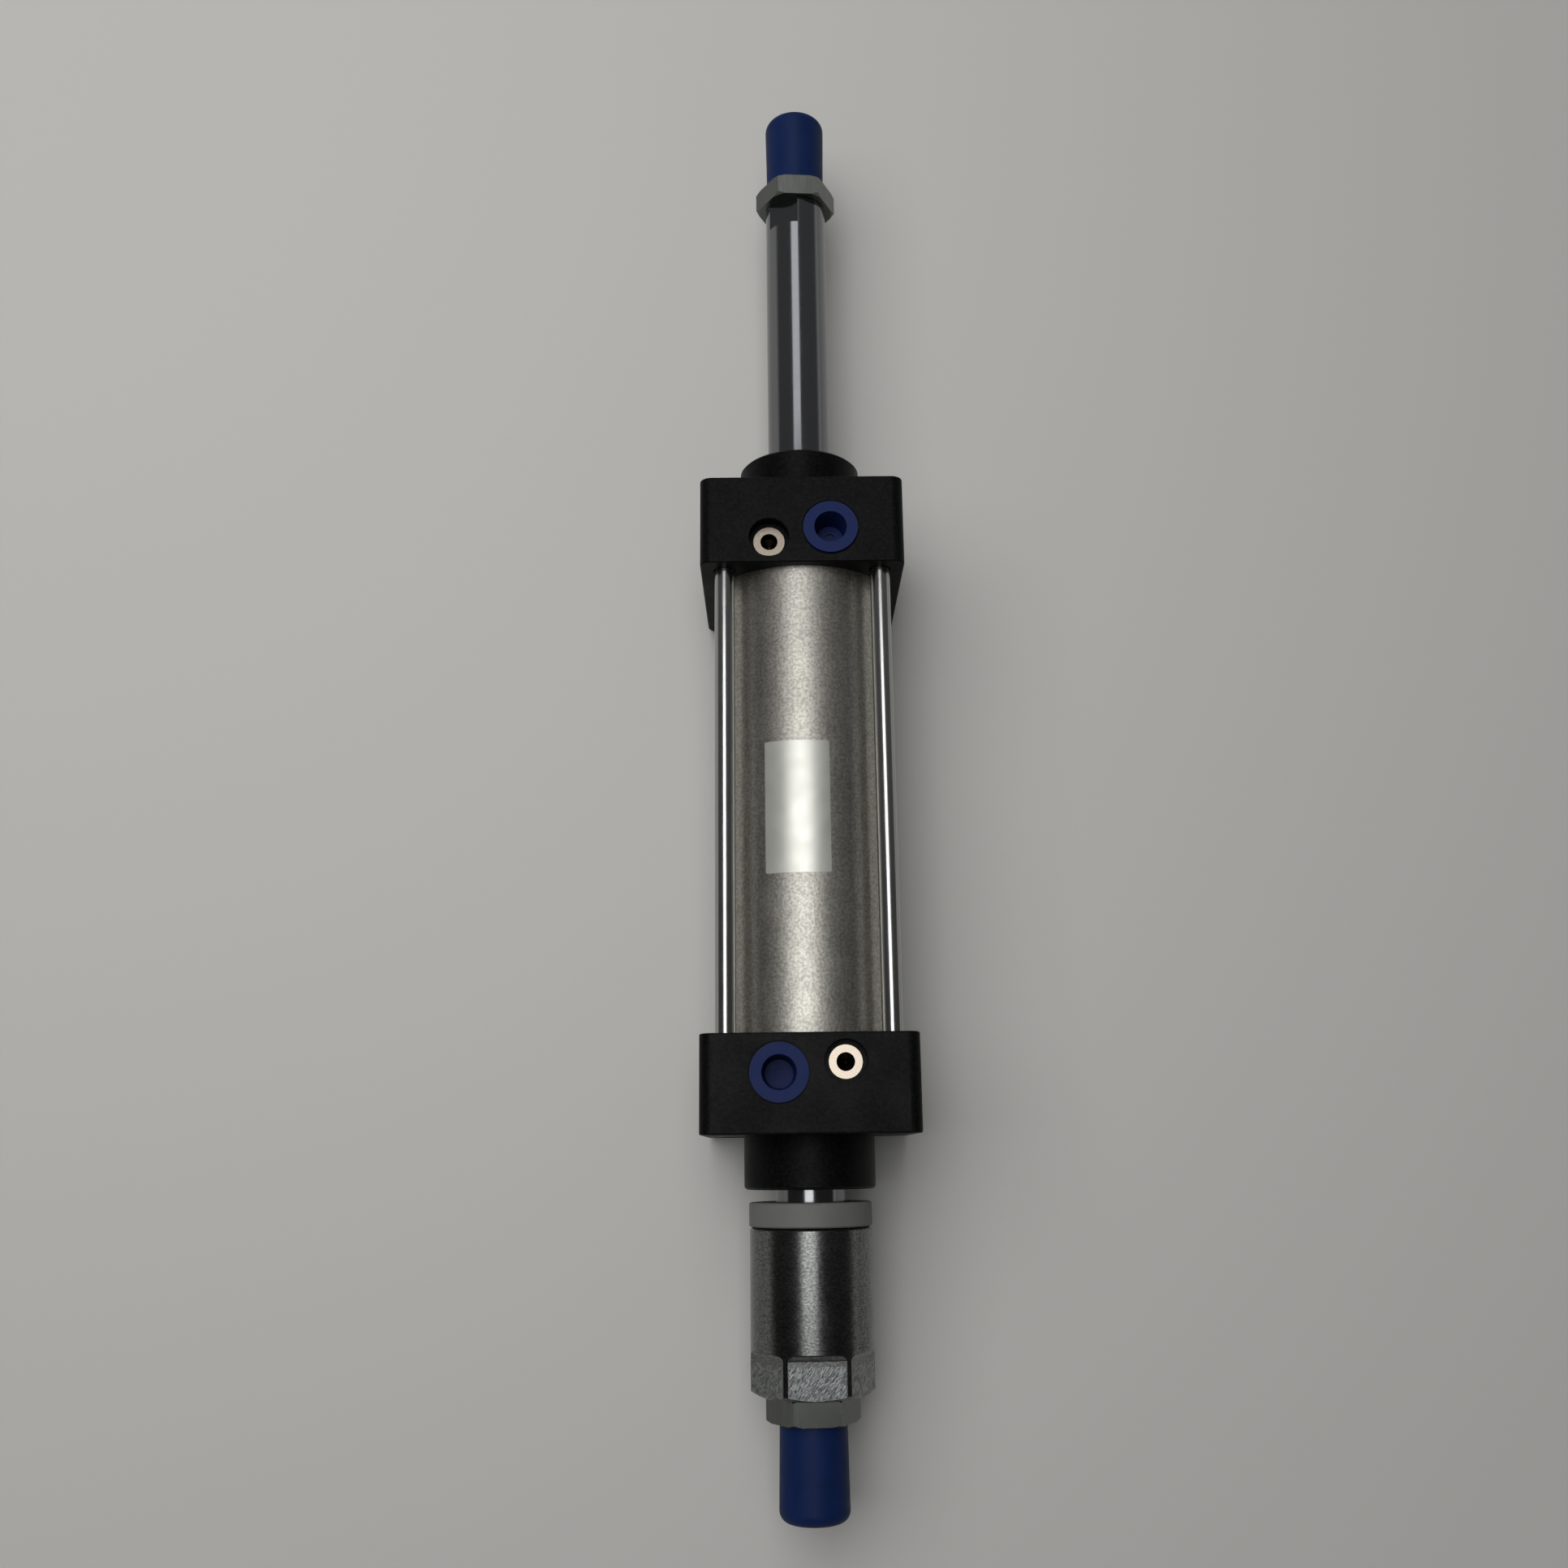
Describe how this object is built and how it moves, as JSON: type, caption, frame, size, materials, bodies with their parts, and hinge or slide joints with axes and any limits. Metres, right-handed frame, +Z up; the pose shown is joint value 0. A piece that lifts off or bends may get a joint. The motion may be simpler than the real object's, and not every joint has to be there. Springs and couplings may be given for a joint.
{
  "type": "pneumatic cylinder",
  "caption": "Double-rod tie-rod air cylinder with square black covers, plugged ports, cushion needles and a threaded sleeve on the rear rod that limits the stroke.",
  "frame": {"origin": "on the cylinder axis, at the outer face of the front cover, where the front boss starts", "axes": "+Y along the axis out of the front cover, towards the working rod's thread; +Z up, out of the face with the ports; +X to the right seen from the rear"},
  "size_m": [0.0614, 0.4434, 0.062],
  "materials": {
    "black_paint": "satin black paint on die-cast aluminium",
    "anodised_tube": "satin anodised",
    "tie_rod_steel": "bright drawn steel",
    "tie_nut_steel": "zinc plated",
    "hard_chrome": "ground and hard chromed",
    "zinc_nut": "zinc plated, satin",
    "zinc_sleeve": "turned and zinc plated",
    "grey_plastic": "matt grey moulded plastic",
    "blue_vinyl": "soft dark blue vinyl",
    "blue_polyethylene": "dark blue moulded polyethylene",
    "nickel_brass": "turned brass, nickel plated",
    "seal_rubber": "black nitrile rubber",
    "sintered_bronze": "oiled sintered bronze",
    "piston_aluminium": "turned aluminium",
    "cushion_steel": "turned steel",
    "bonded_magnet": "rubber-bonded ferrite",
    "wear_plastic": "filled acetal"
  },
  "bodies": {
    "barrel": {"barrel_tube": "anodised_tube", "front_cover": "black_paint", "rear_cover": "black_paint", "tie_rod_1": "tie_rod_steel", "tie_rod_2": "tie_rod_steel", "tie_rod_3": "tie_rod_steel", "tie_rod_4": "tie_rod_steel", "front_tie_nut_1": "tie_nut_steel", "front_tie_nut_2": "tie_nut_steel", "front_tie_nut_3": "tie_nut_steel", "front_tie_nut_4": "tie_nut_steel", "rear_tie_nut_1": "tie_nut_steel", "rear_tie_nut_2": "tie_nut_steel", "rear_tie_nut_3": "tie_nut_steel", "rear_tie_nut_4": "tie_nut_steel", "front_rod_bush": "sintered_bronze", "front_rod_seal": "seal_rubber", "front_cushion_seal": "seal_rubber", "front_cover_ring": "seal_rubber", "rear_rod_bush": "sintered_bronze", "rear_rod_seal": "seal_rubber", "rear_cushion_seal": "seal_rubber", "rear_cover_ring": "seal_rubber"},
    "piston_seals": {"front_piston_seal": "seal_rubber", "rear_piston_seal": "seal_rubber", "piston_wear_ring": "wear_plastic"},
    "rod": {"front_piston_rod": "hard_chrome", "rear_piston_rod": "hard_chrome", "front_piston_half": "piston_aluminium", "rear_piston_half": "piston_aluminium", "piston_magnet": "bonded_magnet", "piston_ring": "seal_rubber", "front_cushion_sleeve": "cushion_steel", "rear_cushion_sleeve": "cushion_steel", "rod_end_nut": "zinc_nut"},
    "stop_ring": {"stop_washer": "grey_plastic"},
    "stop_sleeve": {"adjusting_sleeve": "zinc_sleeve", "lock_nut": "zinc_nut"},
    "front_cap": {"front_thread_cap": "blue_vinyl"},
    "rear_cap": {"rear_thread_cap": "blue_vinyl"},
    "front_plug": {"front_port_plug": "blue_polyethylene"},
    "rear_plug": {"rear_port_plug": "blue_polyethylene"},
    "front_needle_seal": {"front_needle_ring": "seal_rubber"},
    "front_needle": {"front_cushion_needle": "nickel_brass"},
    "rear_needle_seal": {"rear_needle_ring": "seal_rubber"},
    "rear_needle": {"rear_cushion_needle": "nickel_brass"}
  },
  "joints": [
    {"name": "rod_slide", "type": "slide", "parent": "barrel", "child": "piston_seals", "axis": [0, 1, 0], "range_m": [-0.0864, 0.0035]},
    {"name": "rod_turn", "type": "hinge", "parent": "piston_seals", "child": "rod", "pos_m": [0, 0, 0], "axis": [0, 1, 0], "continuous": true},
    {"name": "stop_travel", "type": "slide", "parent": "rod", "child": "stop_ring", "axis": [0, -1, 0], "range_m": [0, 0.00975]},
    {"name": "stop_turn", "type": "hinge", "parent": "stop_ring", "child": "stop_sleeve", "pos_m": [0, -0.24, 0], "axis": [0, -1, 0], "range_deg": [0, 2340]},
    {"name": "front_cap_pull", "type": "slide", "parent": "rod", "child": "front_cap", "axis": [0, 1, 0], "range_m": [0, 0.03]},
    {"name": "rear_cap_pull", "type": "slide", "parent": "stop_ring", "child": "rear_cap", "axis": [0, -1, 0], "range_m": [0, 0.03]},
    {"name": "front_plug_pull", "type": "slide", "parent": "barrel", "child": "front_plug", "axis": [0, 0, 1], "range_m": [0, 0.015]},
    {"name": "rear_plug_pull", "type": "slide", "parent": "barrel", "child": "rear_plug", "axis": [0, 0, 1], "range_m": [0, 0.015]},
    {"name": "front_needle_lift", "type": "slide", "parent": "barrel", "child": "front_needle_seal", "axis": [0, 0, 1], "range_m": [-0.00075, 0.00225]},
    {"name": "front_needle_turn", "type": "hinge", "parent": "front_needle_seal", "child": "front_needle", "pos_m": [-0.00995, -0.0195, 0.02], "axis": [0, 0, 1], "range_deg": [-360, 1080]},
    {"name": "rear_needle_lift", "type": "slide", "parent": "barrel", "child": "rear_needle_seal", "axis": [0, 0, 1], "range_m": [-0.00075, 0.00225]},
    {"name": "rear_needle_turn", "type": "hinge", "parent": "rear_needle_seal", "child": "rear_needle", "pos_m": [0.00995, -0.1745, 0.02], "axis": [0, 0, 1], "range_deg": [-360, 1080]}
  ],
  "couplings": [
    {"joint": "stop_turn", "follows": "stop_travel", "rad_per_m": 4188.8},
    {"joint": "front_needle_turn", "follows": "front_needle_lift", "rad_per_m": 8377.6},
    {"joint": "rear_needle_turn", "follows": "rear_needle_lift", "rad_per_m": 8377.6}
  ]
}
